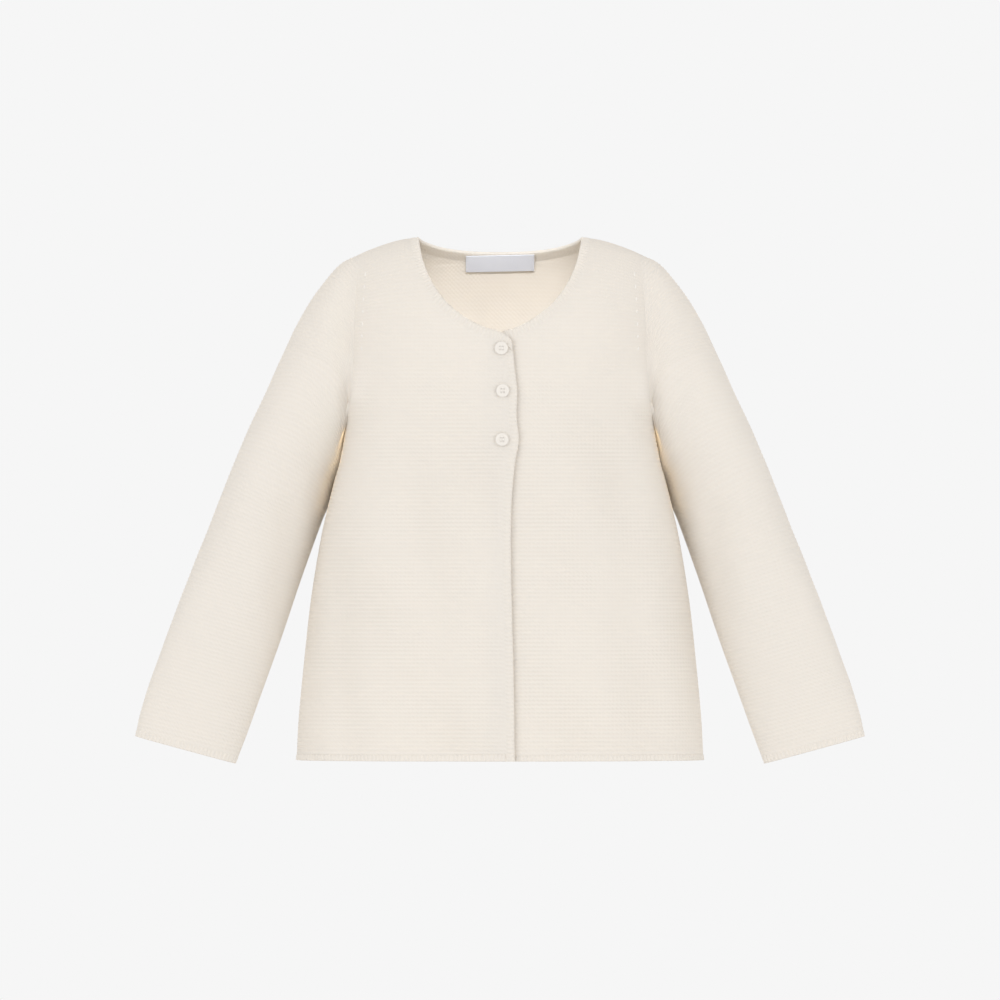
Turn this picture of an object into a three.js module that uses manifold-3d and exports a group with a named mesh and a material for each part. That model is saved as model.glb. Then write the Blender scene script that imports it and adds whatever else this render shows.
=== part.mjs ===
// A small child's cardigan knitted in garter stitch, filled out as if worn, with nobody in it.
// Millimetres, +Z up. The front faces -Y, and +X is the wearer's left side.
// The origin lies between the two side neck points, where the shoulders carry the garment.
import * as THREE from "three";
import { mergeVertices } from "three/addons/utils/BufferGeometryUtils.js";
import Module from "manifold-3d";

// Driving sizes
const wall = 2.5; // garter stitch in cotton is a thick, springy cloth
const ridgeWall = 2.9; // measured straight down, where two slopes meet on the shoulder
const seamGap = 0.3; // pieces stay this far apart where they are sewn together
const hemHeight = -392; // shoulder to hem is 392
const armpitHeight = -139;
const shoulderTip = { x: 105, z: -12.6 }; // top of the armhole seam
const sideNeck = { x: 61, z: 0 };
const trimWidth = 6.5; // narrow edging round the neck and down both fronts
const edgeRows = { height: 4, step: 0.5, proud: 0.4 }; // firm first rows at hem and cuffs
const overlapLift = 1.9; // the upper front rises and the lower one sinks by this much
const overlapReach = 42; // how far from its edge a front eases back to the body
const button = { radius: 5, thickness: 2.2, rim: 0.6, dishRadius: 3.2, dishDepth: 0.4, gap: 0.5 };
const buttonHole = { radius: 0.65, offset: 1 }; // four of them, in a square
const label = { width: 52, height: 12, thickness: 0.6, topGap: 2.6, lift: 1.1, tilt: 0.022 };

// How many pieces each form is divided into
const frontColumns = 14;
const backColumns = 11; // in each half
const labelColumns = 8;
const buttonSides = 24;
const holeSides = 8;

// Cross-sections of the body: half width from the front, and depth before and behind.
const bodyRings = [
  { z: -392, halfWidth: 152.5, front: 74, back: 69 },
  { z: -362, halfWidth: 151, front: 73, back: 68 },
  { z: -317, halfWidth: 146.8, front: 72, back: 66 },
  { z: -272, halfWidth: 141.8, front: 70.5, back: 64.5 },
  { z: -227, halfWidth: 134.5, front: 69, back: 63.5 },
  { z: -200, halfWidth: 128.5, front: 68, back: 63 },
  { z: -182, halfWidth: 124, front: 67, back: 62 },
  { z: -167, halfWidth: 120, front: 66.5, back: 61.5 },
  { z: -139, halfWidth: 116, front: 65.5, back: 60.5 },
  { z: -100, halfWidth: 117.5, front: 64, back: 60.5 },
  { z: -60, halfWidth: 118.5, front: 60, back: 58 },
  { z: -20, halfWidth: 119, front: 55, back: 53 },
  { z: 20, halfWidth: 119, front: 51, back: 49 },
];
const ringPower = 2.3; // slightly squarer than an ellipse
// Below the shoulder line the cloth reaches its full depth over these heights, along a dome.
const shoulderRise = { front: 84, back: 72, power: 2.2, root: 2 };

// The line along the top of the shoulder, out from the centre.
const shoulderLine = [
  { x: 0, z: 6 },
  { x: 30, z: 4.6 },
  { x: 61, z: 0 },
  { x: 75, z: -2 },
  { x: 90, z: -6.5 },
  { x: 105, z: -12.6 },
  { x: 120, z: -20.5 },
];

// The armhole seam seen from the front, from the armpit up.
const armholeLine = [
  { z: -139, x: 116 },
  { z: -133, x: 113.8 },
  { z: -120, x: 111.6 },
  { z: -100, x: 110 },
  { z: -63, x: 108.8 },
  { z: -33, x: 107.2 },
  { z: -12.6, x: 105 },
];

// The neck edge of a front, from its corner at the opening to the side neck point.
const frontNeckLine = [
  { x: -9.3, z: -80 },
  { x: -8, z: -77 },
  { x: -4.5, z: -74 },
  { x: 2, z: -71 },
  { x: 16, z: -66 },
  { x: 30, z: -57.5 },
  { x: 42, z: -46.5 },
  { x: 51.5, z: -32.5 },
  { x: 57.5, z: -18 },
  { x: 60.3, z: -5 },
  { x: 61, z: 0 },
];

// The neck edge of the back, from the centre to the side neck point.
const backNeckLine = [
  { x: 0, z: -10.3 },
  { x: 15, z: -10.1 },
  { x: 30, z: -9 },
  { x: 42, z: -7.2 },
  { x: 51, z: -4.8 },
  { x: 57.5, z: -2.2 },
  { x: 61, z: 0 },
];

// How far the edge of a front passes the centre. It swells where the buttons hold it.
const openingEdge = [
  { z: -392, past: 11 },
  { z: -340, past: 10.4 },
  { z: -290, past: 9.2 },
  { z: -240, past: 8.2 },
  { z: -200, past: 8.6 },
  { z: -170, past: 11.2 },
  { z: -152, past: 14 },
  { z: -135, past: 12.4 },
  { z: -115, past: 12.8 },
  { z: -97, past: 10.8 },
  { z: -80, past: 9.3 },
];

// Soft vertical folds: the line of each trough down to its foot, its half width and its depth.
const foldFoot = -400;
const foldStart = 0.35; // a trough deepens over this share of its length
const bodyFolds = [
  { side: "front", topX: -95, topZ: -100, lowX: -42, bend: 0.45, width: 17, depth: 4.2 },
  { side: "front", topX: -128, topZ: -190, lowX: -112, bend: 1, width: 12, depth: 2.6 },
  { side: "front", topX: 74, topZ: -80, lowX: 112, bend: 0.8, width: 17, depth: 3.4 },
  { side: "front", topX: 42, topZ: -230, lowX: 62, bend: 1, width: 14, depth: 1.8 },
  { side: "back", topX: -84, topZ: -110, lowX: -96, bend: 1, width: 18, depth: 3.8 },
  { side: "back", topX: -18, topZ: -170, lowX: -30, bend: 1, width: 20, depth: 3.2 },
  { side: "back", topX: 52, topZ: -120, lowX: 44, bend: 0.7, width: 18, depth: 4.4 },
  { side: "back", topX: 112, topZ: -200, lowX: 122, bend: 1, width: 13, depth: 2.4 },
];

// Sections across the sleeve: its upper and lower end seen from the front, how far each end lies
// behind the centre, and half the depth. The first is the armhole and the last is the cuff.
const sleeveSections = [
  { at: 0, topX: 105, topZ: -12.6, lowX: 116, lowZ: -139, topBack: 0, lowBack: 0, depth: 27 },
  { at: 1, topX: 120, topZ: -20.5, lowX: 117.4, lowZ: -146, topBack: 0, lowBack: 2, depth: 31 },
  { at: 2, topX: 134, topZ: -36.5, lowX: 118.4, lowZ: -155, topBack: 1, lowBack: 6, depth: 34 },
  { at: 3, topX: 148.5, topZ: -58.5, lowX: 119.8, lowZ: -167, topBack: 2, lowBack: 12, depth: 36 },
  { at: 4, topX: 160, topZ: -81, lowX: 122.6, lowZ: -179, topBack: 3, lowBack: 17, depth: 37.5 },
  { at: 5, topX: 175.5, topZ: -115, lowX: 125.8, lowZ: -191, topBack: 3, lowBack: 21, depth: 38 },
  { at: 6, topX: 190.5, topZ: -148.5, lowX: 129.4, lowZ: -203, topBack: 3, lowBack: 21, depth: 37.5 },
  { at: 7, topX: 207, topZ: -188, lowX: 134.4, lowZ: -215, topBack: 1, lowBack: 17, depth: 36 },
  { at: 8, topX: 224, topZ: -231, lowX: 149, lowZ: -256, topBack: -3, lowBack: 8, depth: 32.5 },
  { at: 9, topX: 241.5, topZ: -276, lowX: 163, lowZ: -298, topBack: -8, lowBack: -1, depth: 27.5 },
  { at: 10, topX: 257.5, topZ: -320.5, lowX: 178, lowZ: -340, topBack: -13, lowBack: -9, depth: 21.5 },
  { at: 11, topX: 268.5, topZ: -353, lowX: 189.4, lowZ: -372, topBack: -17, lowBack: -14, depth: 16.5 },
  { at: 12, topX: 273, topZ: -374, lowX: 198, lowZ: -394.5, topBack: -19, lowBack: -17, depth: 13 },
];
const sleeveEasing = 2.5; // the armhole's outline turns into the sleeve's own over this many sections
const sleeveSteps = 20; // sections in the solid
const sleeveCrowding = 0.92; // below 1 they lie closer together towards the cuff
const cuffEdge = { width: 0.2, step: 0.05 }; // the firm edge of the cuff, in sections

// Soft dents in the sleeve, at an angle round it (0 on top, 90 in front) and a section. Slant is
// how many sections a dent moves along the sleeve for each degree round it.
const sleeveFolds = [
  { angle: 118, at: 7.4, spread: 26, length: 0.8, slant: 0.024, depth: 2.6 },
  { angle: 70, at: 8.6, spread: 24, length: 0.7, slant: -0.022, depth: 1.8 },
  { angle: 235, at: 7.2, spread: 28, length: 0.9, slant: -0.027, depth: 3 },
  { angle: 290, at: 9, spread: 24, length: 0.8, slant: 0.02, depth: 2 },
  { angle: 150, at: 4.4, spread: 22, length: 0.8, slant: 0, depth: 2 },
];

// Heights of the rows that meet the armhole or the neck. The sleeve uses the same ones, so the
// seam has the same points on both sides.
const armholeRows = [
  -139, -136.8, -131.5, -123.5, -112, -99, -88, -83, -78, -72.5, -64.5, -54.5, -43, -31.5, -22.5, -17.4,
  -14.3, -12.6,
];
const shoulderRows = [-9.6, -6.6, -4.2, -2.4, -1.6];
const skirtRowStep = 21;
// The back's rows climb towards the middle, so that they meet its shallow neck evenly.
const backNeckFrom = -43; // the armhole row that ends at the middle of the neck
const backNeckCrowding = 0.9;

// Over these places on the neck line, the edging's seam turns from straight down at its start and to
// the shoulder line at its end.
const neckTurn = { front: 3.2, back: 1, shoulder: 1.2 };

const buttons = [
  { name: "button_top", x: 1, z: -84 },
  { name: "button_middle", x: 2, z: -115.5 },
  { name: "button_lower", x: 1.5, z: -152 },
];

const knitColour = 0xefe6da;
const pearlColour = 0xf1efee;
const labelColour = 0xe9e9ef;

const clamp = (value, low, high) => Math.min(Math.max(value, low), high);
const mix = (a, b, t) => a + (b - a) * t;
const ease = (value, low, high) => {
  const t = clamp((value - low) / (high - low), 0, 1);
  return t * t * (3 - 2 * t);
};

// A smooth curve through one column of a table, read by another column.
function along(table, key, value, column) {
  const last = table.length - 1;
  let i = 0;
  while (i < last - 1 && value > table[i + 1][key]) i++;
  const slope = (k) => {
    const before = table[Math.max(k - 1, 0)];
    const after = table[Math.min(k + 1, last)];
    return (after[column] - before[column]) / (after[key] - before[key]);
  };
  const [p, q] = [table[i], table[i + 1]];
  const span = q[key] - p[key];
  const t = clamp((value - p[key]) / span, 0, 1);
  const [t2, t3] = [t * t, t * t * t];
  return (
    (2 * t3 - 3 * t2 + 1) * p[column] +
    (t3 - 2 * t2 + t) * span * slope(i) +
    (3 * t2 - 2 * t3) * q[column] +
    (t3 - t2) * span * slope(i + 1)
  );
}

const ridgeHeight = (x) => along(shoulderLine, "x", Math.abs(x), "z");
const armholeX = (z) => along(armholeLine, "z", z, "x");
const edgePast = (z) => along(openingEdge, "z", Math.min(z, openingEdge.at(-1).z), "past");

// The value between two limits up to which a test holds, by halving.
function lastWhere(from, to, holds) {
  let [low, high] = [from, to];
  for (let i = 0; i < 40; i++) {
    const middle = (low + high) / 2;
    if (holds(middle)) low = middle;
    else high = middle;
  }
  return low;
}

// Where the shoulder line comes down to a height.
const ridgeX = (z) => lastWhere(sideNeck.x, shoulderLine.at(-1).x, (x) => ridgeHeight(x) > z);

function foldDepth(side, x, z) {
  let total = 0;
  for (const fold of bodyFolds) {
    if (fold.side !== side || z > fold.topZ) continue;
    const down = clamp((fold.topZ - z) / (fold.topZ - foldFoot), 0, 1);
    const centre = mix(fold.topX, fold.lowX, down ** fold.bend);
    total += fold.depth * ease(down, 0, foldStart) * Math.exp(-(((x - centre) / fold.width) ** 2));
  }
  return total;
}

// A point of the body's outer surface. The angle is 0 at the centre and a right angle at the side seam.
function bodyPoint(side, angle, z) {
  const halfWidth = along(bodyRings, "z", z, "halfWidth");
  const depth = along(bodyRings, "z", z, side);
  const turn = 2 / ringPower;
  const x = Math.sign(angle) * halfWidth * Math.abs(Math.sin(angle)) ** turn;
  const bulge = Math.max(Math.cos(angle), 0) ** turn;
  const below = Math.max(ridgeHeight(x) - z, 0);
  const rise = Math.min(below / shoulderRise[side], 1);
  const closing = (1 - (1 - rise) ** shoulderRise.power) ** (1 / shoulderRise.root);
  const rimTop = hemHeight + edgeRows.height;
  const proud = edgeRows.proud * ease(z, rimTop + edgeRows.step, rimTop);
  const facing = Math.min(1, 1.5 * bulge); // folds die out towards the sides
  const out = bulge * (depth * closing + proud) - foldDepth(side, x, z) * facing;
  return new THREE.Vector3(x + Math.sign(x) * proud * (1 - bulge), (side === "front" ? -1 : 1) * out, z);
}

const angleOf = (x, z) => {
  const across = clamp(Math.abs(x) / along(bodyRings, "z", z, "halfWidth"), 0, 1);
  return Math.sign(x) * Math.asin(across ** (ringPower / 2));
};

// The outward normal of the body, from two short steps along the surface.
function bodyNormal(side, angle, z) {
  const step = 0.01;
  const a = clamp(angle, -Math.PI / 2 + 2 * step, Math.PI / 2 - 2 * step);
  const p = bodyPoint(side, a, z);
  const across = bodyPoint(side, a + step, z).sub(p);
  const down = bodyPoint(side, a, z - 0.5).sub(p);
  const normal = new THREE.Vector3().crossVectors(down, across).normalize();
  return side === "front" ? normal : normal.negate();
}

// Sleeve surface, for the wearer's left arm. The angle is 0 on top and a right angle in front.
function sleevePoint(angle, at) {
  const read = (column) => along(sleeveSections, "at", at, column);
  const [c, s] = [Math.cos(angle), Math.sin(angle)];
  const [topX, topZ, lowX, lowZ] = ["topX", "topZ", "lowX", "lowZ"].map(read);
  const own = ease(at, 0, sleeveEasing);
  const seamZ = mix(armpitHeight, shoulderTip.z, (1 + c) / 2);
  const seamX = armholeX(seamZ);
  const straightX = mix(sleeveSections[0].lowX, sleeveSections[0].topX, (1 + c) / 2);
  const side = s >= 0 ? "front" : "back";
  const seamDepth = Math.abs(bodyPoint(side, angleOf(seamX, seamZ), seamZ).y);
  const depth = mix(seamDepth, read("depth") * Math.abs(s), own);
  const dent = sleeveFolds.reduce((sum, fold) => {
    const turned = THREE.MathUtils.radToDeg(angle) - fold.angle;
    const offset = at - fold.at - fold.slant * turned;
    return sum + fold.depth * Math.exp(-((turned / fold.spread) ** 2) - (offset / fold.length) ** 2);
  }, 0);
  const toCuff = sleeveSections.at(-1).at - at;
  const proud = edgeRows.proud * ease(toCuff, cuffEdge.width + cuffEdge.step, cuffEdge.width);
  const chord = new THREE.Vector2(topX - lowX, topZ - lowZ);
  const half = chord.length() / 2;
  const grow = (half - dent * Math.abs(c) + proud) / half;
  return new THREE.Vector3(
    mix(lowX, topX, 0.5 + 0.5 * c * grow) + (1 - own) * (seamX - straightX),
    mix(read("lowBack"), read("topBack"), (1 + c) / 2) - Math.sign(s) * (depth + Math.abs(s) * (proud - dent)),
    mix(lowZ, topZ, 0.5 + 0.5 * c * grow),
  );
}

function sleeveNormal(angle, at) {
  const step = 0.02;
  const start = clamp(at, 0, sleeveSections.at(-1).at - step);
  const p = sleevePoint(angle, start);
  const round = sleevePoint(angle + step, start).sub(sleevePoint(angle - step, start));
  const out = sleevePoint(angle, start + step).sub(p);
  return new THREE.Vector3().crossVectors(out, round).negate().normalize();
}

const armholeAngle = (side, z) => {
  const c = clamp((2 * (z - armpitHeight)) / (shoulderTip.z - armpitHeight) - 1, -1, 1);
  return side === "front" ? Math.acos(c) : 2 * Math.PI - Math.acos(c);
};

const armholePoint = (side, z) => bodyPoint(side, angleOf(armholeX(z), z), z);

const seamReach = [-10, -5, 0, 5, 10]; // heights over which the seam's normal is averaged

// The armhole seam of the wearer's left arm at a height. Body and sleeve share its normal, which
// turns smoothly round the armhole, so their ends stay parallel. Each keeps half the gap from it.
function armholeSeam(side, z) {
  const normal = new THREE.Vector3();
  for (const step of seamReach) {
    const near = clamp(z + step, armpitHeight, shoulderTip.z);
    normal.add(bodyNormal(side, angleOf(armholeX(near), near), near));
    normal.add(sleeveNormal(armholeAngle(side, near), 0));
  }
  normal.normalize();
  const step = 0.4;
  const [high, low] = [Math.min(z + step, shoulderTip.z), Math.max(z - step, armpitHeight)];
  const tangent = armholePoint(side, high).sub(armholePoint(side, low));
  if (z === armpitHeight || z === shoulderTip.z) tangent.set(0, side === "front" ? -1 : 1, 0);
  const outward = new THREE.Vector3().crossVectors(tangent, normal).normalize();
  if (outward.x < 0) outward.negate();
  return { point: armholePoint(side, z), normal, outward };
}

function ridgeNormal(x) {
  const slope = (ridgeHeight(x + 1) - ridgeHeight(x - 1)) / 2;
  return new THREE.Vector3(-slope, 0, 1).normalize();
}

// A cloth wall: points on its outer face with their partners inside, closed along every free edge.
class ClothWall {
  constructor() {
    this.outer = [];
    this.inner = [];
    this.faces = [];
    this.known = new Map();
  }

  point(outer, inner) {
    const key = outer.toArray().map((n) => Math.round(n * 500)).join();
    if (!this.known.has(key)) {
      this.known.set(key, this.outer.length);
      this.outer.push(outer);
      this.inner.push(inner);
    }
    return this.known.get(key);
  }

  // Rows of [outer, inner] pairs, joined in order. A ring's last point joins its first.
  addRows(rows, { ring = false, flip = false } = {}) {
    const ids = rows.map((row) => row.map(([outer, inner]) => this.point(outer, inner)));
    for (let r = 0; r + 1 < ids.length; r++) {
      const count = ids[r].length;
      for (let k = 0; k < (ring ? count : count - 1); k++) {
        const next = (k + 1) % count;
        const [a, b, c, d] = [ids[r][k], ids[r][next], ids[r + 1][next], ids[r + 1][k]];
        for (const t of [[a, b, c], [a, c, d]]) {
          if (new Set(t).size === 3) this.faces.push(flip ? t.reverse() : t);
        }
      }
    }
    return this;
  }

  geometry() {
    const count = this.outer.length;
    const index = [];
    const used = new Set();
    for (const [a, b, c] of this.faces) {
      index.push(a, b, c, a + count, c + count, b + count);
      for (const [p, q] of [[a, b], [b, c], [c, a]]) used.add(`${p},${q}`);
    }
    for (const edge of used) {
      const [p, q] = edge.split(",").map(Number);
      if (!used.has(`${q},${p}`)) index.push(q, p, p + count, q, p + count, q + count);
    }
    const points = [...this.outer, ...this.inner].flatMap((v) => v.toArray());
    const made = new THREE.BufferGeometry();
    made.setAttribute("position", new THREE.Float32BufferAttribute(points, 3));
    made.setIndex(index);
    return made;
  }
}

const pair = (outer, normal, thickness = wall) => [outer, outer.clone().addScaledVector(normal, -thickness)];

// The neck edge as a curve, and the line that lies a distance outside it on the cloth.
function neckStation(line, t, distance) {
  const read = (value) => {
    const table = line.map((row, i) => ({ ...row, i }));
    return new THREE.Vector2(along(table, "i", value, "x"), along(table, "i", value, "z"));
  };
  const last = line.length - 1;
  const here = read(t);
  const tangent = read(Math.min(t + 0.02, last)).sub(read(Math.max(t - 0.02, 0))).normalize();
  const away = new THREE.Vector2(tangent.y, -tangent.x);
  const turn = line === frontNeckLine ? neckTurn.front : neckTurn.back;
  away.lerp(new THREE.Vector2(0, -1), 1 - ease(t, 0, turn)).normalize();
  const slope = (ridgeHeight(sideNeck.x + distance) - sideNeck.z) / Math.max(distance, 1);
  away.lerp(new THREE.Vector2(1, slope).normalize(), ease(t, last - neckTurn.shoulder, last)).normalize();
  return { edge: here, out: here.clone().addScaledVector(away, distance) };
}

// The place on the neck edge whose outer line comes to a height.
const neckAt = (line, z, distance) =>
  lastWhere(0, line.length - 1, (t) => neckStation(line, t, distance).out.y < z);

const panelInset = trimWidth + seamGap;

// Inner limit of a front at a height: the edging's seam down the opening, or round the neck.
function frontInnerX(z) {
  const opening = panelInset - edgePast(z);
  if (z <= neckStation(frontNeckLine, 0, panelInset).out.y) return opening;
  const neck = neckStation(frontNeckLine, neckAt(frontNeckLine, z, panelInset), panelInset).out.x;
  return Math.max(opening, neck);
}

// How far a front rises or sinks near the opening, where one lies on the other.
function overlapShift(hand, x, z) {
  const across = x * hand;
  const near = 1 - ease(across, 0, overlapReach);
  const low = ease(z, -40, -70);
  return (hand < 0 ? overlapLift : -overlapLift) * near * low;
}

// A pair of points of the body's cloth. Hand is 1 on the wearer's left and -1 on the right.
function bodyPair(side, hand, angle, z) {
  const p = bodyPoint(side, angle * hand, z);
  const normal = bodyNormal(side, angle * hand, z);
  if (side === "front") p.addScaledVector(normal, overlapShift(hand, p.x, z));
  return pair(p, normal);
}

const bodyPairAt = (side, hand, x, z) => bodyPair(side, hand, angleOf(x, z), z);

const mirrored = (v, hand) => new THREE.Vector3(v.x * hand, v.y, v.z);

// The last point of a row: on the side seam, the armhole or the shoulder line.
function outerEnd(side, hand, z) {
  const sign = side === "front" ? -1 : 1;
  if (z < armpitHeight) {
    const normal = bodyNormal("front", (hand * Math.PI) / 2, z).setY(0).normalize();
    return pair(bodyPoint(side, (hand * Math.PI) / 2, z).setY((sign * seamGap) / 2), normal);
  }
  if (z > shoulderTip.z) {
    const point = new THREE.Vector3(ridgeX(z) * hand, (sign * seamGap) / 2, z);
    return pair(point, mirrored(ridgeNormal(ridgeX(z)), hand), ridgeWall);
  }
  const { point, normal, outward } = armholeSeam(side, z);
  const ends = pair(point.addScaledVector(outward, -seamGap / 2), normal);
  for (const end of ends) if (sign * end.y < seamGap / 2) end.y = (sign * seamGap) / 2;
  return ends.map((end) => mirrored(end, hand));
}

// Places between two ends of a row that divide its cloth into equal lengths.
function evenPlaces(side, hand, from, to, count) {
  const samples = 60;
  const place = (f) => ({ angle: mix(from.angle, to.angle, f), z: mix(from.z, to.z, f) });
  const run = [0];
  for (let k = 1; k <= samples; k++) {
    const [p, q] = [place((k - 1) / samples), place(k / samples)];
    const ends = [p, q].map(({ angle, z }) => bodyPoint(side, angle * hand, z));
    run.push(run[k - 1] + ends[0].distanceTo(ends[1]));
  }
  const even = [];
  for (let k = 0, i = 0; k < count; k++) {
    const goal = (run[samples] * k) / count;
    while (run[i + 1] < goal) i++;
    even.push(place((i + (goal - run[i]) / (run[i + 1] - run[i])) / samples));
  }
  return even;
}

// One row of a panel, from its opening, neck or middle out to the side, armhole or shoulder.
function bodyRow(side, hand, inner, z, columns) {
  let to = Math.PI / 2;
  if (z >= armpitHeight) to = angleOf(z > shoulderTip.z ? ridgeX(z) : armholeX(z), z);
  const from = { angle: angleOf(inner.x, inner.z), z: inner.z };
  const places = evenPlaces(side, hand, from, { angle: to, z }, columns);
  return [...places.map((place) => bodyPair(side, hand, place.angle, place.z)), outerEnd(side, hand, z)];
}

// The row where a panel narrows to a point, between the edging and the end of the shoulder seam.
function lastRow(side, hand, columns) {
  const end = outerEnd(side, hand, ridgeHeight(sideNeck.x + panelInset));
  return Array(columns + 1).fill(end);
}

const skirtRows = () => {
  const count = Math.round((armpitHeight - hemHeight) / skirtRowStep);
  const rimTop = hemHeight + edgeRows.height;
  const rows = [hemHeight, rimTop, rimTop + edgeRows.step];
  for (let k = 1; k < count; k++) rows.push(mix(hemHeight, armpitHeight, k / count));
  return rows;
};

const allRows = () => [...skirtRows(), ...armholeRows, ...shoulderRows];

// Rows of the back that end on its neck, and the places on the neck where they end.
const backNeckRows = allRows().filter((z) => z >= backNeckFrom);
const backNeckPlaces = backNeckRows.map(
  (_, k) => (backNeckLine.length - 1) * (k / backNeckRows.length) ** backNeckCrowding,
);

function backInner(z) {
  const middle = neckStation(backNeckLine, 0, panelInset).out.y;
  if (z < armpitHeight) return { x: 0, z };
  if (z < backNeckFrom) {
    const up = (z - armpitHeight) / (backNeckFrom - armpitHeight);
    return { x: 0, z: mix(armpitHeight, middle, up) };
  }
  const { out } = neckStation(backNeckLine, backNeckPlaces[backNeckRows.indexOf(z)], panelInset);
  return { x: out.x, z: out.y };
}

function frontPanel(hand) {
  const rows = allRows().map((z) => bodyRow("front", hand, { x: frontInnerX(z), z }, z, frontColumns));
  rows.push(lastRow("front", hand, frontColumns));
  return new ClothWall().addRows(rows, { flip: hand < 0 }).geometry();
}

function backPanel() {
  const wallOfBack = new ClothWall();
  for (const hand of [1, -1]) {
    const rows = allRows().map((z) => bodyRow("back", hand, backInner(z), z, backColumns));
    rows.push(lastRow("back", hand, backColumns));
    wallOfBack.addRows(rows, { flip: hand > 0 });
  }
  return wallOfBack.geometry();
}

function sleeve(hand) {
  const heights = [...armholeRows].reverse();
  const front = heights.map((z) => ({ z, angle: armholeAngle("front", z), side: "front" }));
  const back = heights.slice(1, -1).reverse().map((z) => ({ z, angle: armholeAngle("back", z), side: "back" }));
  const stations = [...front, ...back];
  const last = sleeveSections.at(-1).at;
  const places = [];
  for (let k = 0; k <= sleeveSteps; k++) places.push(last * (k / sleeveSteps) ** sleeveCrowding);
  places.splice(-1, 0, last - cuffEdge.width - cuffEdge.step, last - cuffEdge.width);
  const rows = places.map((at, k) =>
    stations.map(({ z, angle, side }) => {
      if (k > 0) return pair(sleevePoint(angle, at), sleeveNormal(angle, at)).map((v) => mirrored(v, hand));
      const { point, normal, outward } = armholeSeam(side, z);
      return pair(point.addScaledVector(outward, seamGap / 2), normal).map((v) => mirrored(v, hand));
    }),
  );
  return new ClothWall().addRows(rows, { ring: true, flip: hand < 0 }).geometry();
}

// The edging down the opening of a front.
function frontTrim(hand) {
  const top = neckStation(frontNeckLine, 0, trimWidth).out.y - 2 * seamGap;
  const leastRow = 1;
  const heights = [...skirtRows(), ...armholeRows].filter((z) => z < top - leastRow);
  const rows = [...heights, top].map((z) =>
    [0, trimWidth].map((inset) => {
      const x = inset - edgePast(z);
      const atTop = z === top && inset > 0;
      const height = atTop ? neckStation(frontNeckLine, neckAtX(x), trimWidth).out.y - 2 * seamGap : z;
      return bodyPairAt("front", hand, x, height);
    }),
  );
  return new ClothWall().addRows(rows, { flip: hand < 0 }).geometry();
}

// The place on a front's neck edge whose outer line has a given x.
const neckAtX = (x) =>
  lastWhere(0, frontNeckLine.length - 1, (t) => neckStation(frontNeckLine, t, trimWidth).out.x < x);

// The edging round the neck, from one front's corner over both shoulders to the other's.
function neckTrim() {
  const start = neckStation(frontNeckLine, 0, panelInset).out.y;
  const heights = [...armholeRows, ...shoulderRows].filter((z) => z > start + seamGap);
  const frontPlaces = [0, ...heights.map((z) => neckAt(frontNeckLine, z, panelInset))];
  const half = (hand) => {
    const cross = (side, line) => (t) => {
      const { edge, out } = neckStation(line, t, trimWidth);
      return [edge, out].map((v) => bodyPairAt(side, hand, v.x, v.y));
    };
    const onRidge = [sideNeck.x, sideNeck.x + trimWidth].map((x) =>
      pair(new THREE.Vector3(x * hand, 0, ridgeHeight(x)), mirrored(ridgeNormal(x), hand), ridgeWall),
    );
    const front = frontPlaces.map(cross("front", frontNeckLine));
    const back = backNeckPlaces.map(cross("back", backNeckLine)).reverse();
    return [...front, onRidge, ...back];
  };
  const right = half(-1);
  const left = half(1).reverse().slice(1);
  return new ClothWall().addRows([...right, ...left], { flip: true }).geometry();
}

// A woven label on the inside of the back, tilted a little as it was sewn.
function labelGeometry() {
  const { width, height, thickness, topGap, lift, tilt } = label;
  const rows = [0, 0.5, 1].map((down) => {
    const row = [];
    for (let k = 0; k <= labelColumns; k++) {
      const x = width * (k / labelColumns - 0.5);
      const z = backNeckLine[0].z - topGap - height * down + tilt * x;
      const angle = angleOf(x, z);
      const normal = bodyNormal("back", angle, z);
      const p = bodyPoint("back", angle, z).addScaledVector(normal, -(wall + lift));
      row.push(pair(p, normal, thickness));
    }
    return row;
  });
  return new ClothWall().addRows(rows).geometry();
}

function solidOf(geometry) {
  geometry.deleteAttribute("normal");
  geometry.deleteAttribute("uv");
  const merged = mergeVertices(geometry, 1e-4);
  const vertProperties = new Float32Array(merged.attributes.position.array);
  const triVerts = new Uint32Array(merged.index.array);
  return new wasm.Manifold(new wasm.Mesh({ numProp: 3, vertProperties, triVerts }));
}

// A flat round button: rounded rim, shallow dish and four holes for the thread.
function buttonGeometry() {
  const { radius, thickness, rim, dishRadius, dishDepth } = button;
  const profile = [
    [0, 0],
    [radius - rim, 0],
    [radius, rim],
    [radius, thickness - rim],
    [radius - rim, thickness],
    [dishRadius, thickness],
    [dishRadius - dishDepth, thickness - dishDepth],
    [0, thickness - dishDepth],
  ].map(([x, y]) => new THREE.Vector2(x, y));
  let solid = solidOf(new THREE.LatheGeometry(profile, buttonSides));
  for (const [x, z] of [[1, 1], [-1, 1], [-1, -1], [1, -1]]) {
    const cutter = new THREE.CylinderGeometry(buttonHole.radius, buttonHole.radius, 3 * thickness, holeSides);
    solid = solid.subtract(solidOf(cutter.translate(x * buttonHole.offset, 0, z * buttonHole.offset)));
  }
  const mesh = solid.getMesh();
  const made = new THREE.BufferGeometry();
  made.setAttribute("position", new THREE.Float32BufferAttribute(mesh.vertProperties, mesh.numProp));
  made.setIndex([...mesh.triVerts]);
  return made.rotateX(Math.PI / 2);
}

const wasm = await Module();
wasm.setup();

const knit = new THREE.MeshStandardMaterial({ color: knitColour, roughness: 0.95, metalness: 0 });
const pearl = new THREE.MeshStandardMaterial({ color: pearlColour, roughness: 0.25, metalness: 0 });
const satin = new THREE.MeshStandardMaterial({ color: labelColour, roughness: 0.5, metalness: 0 });

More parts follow.
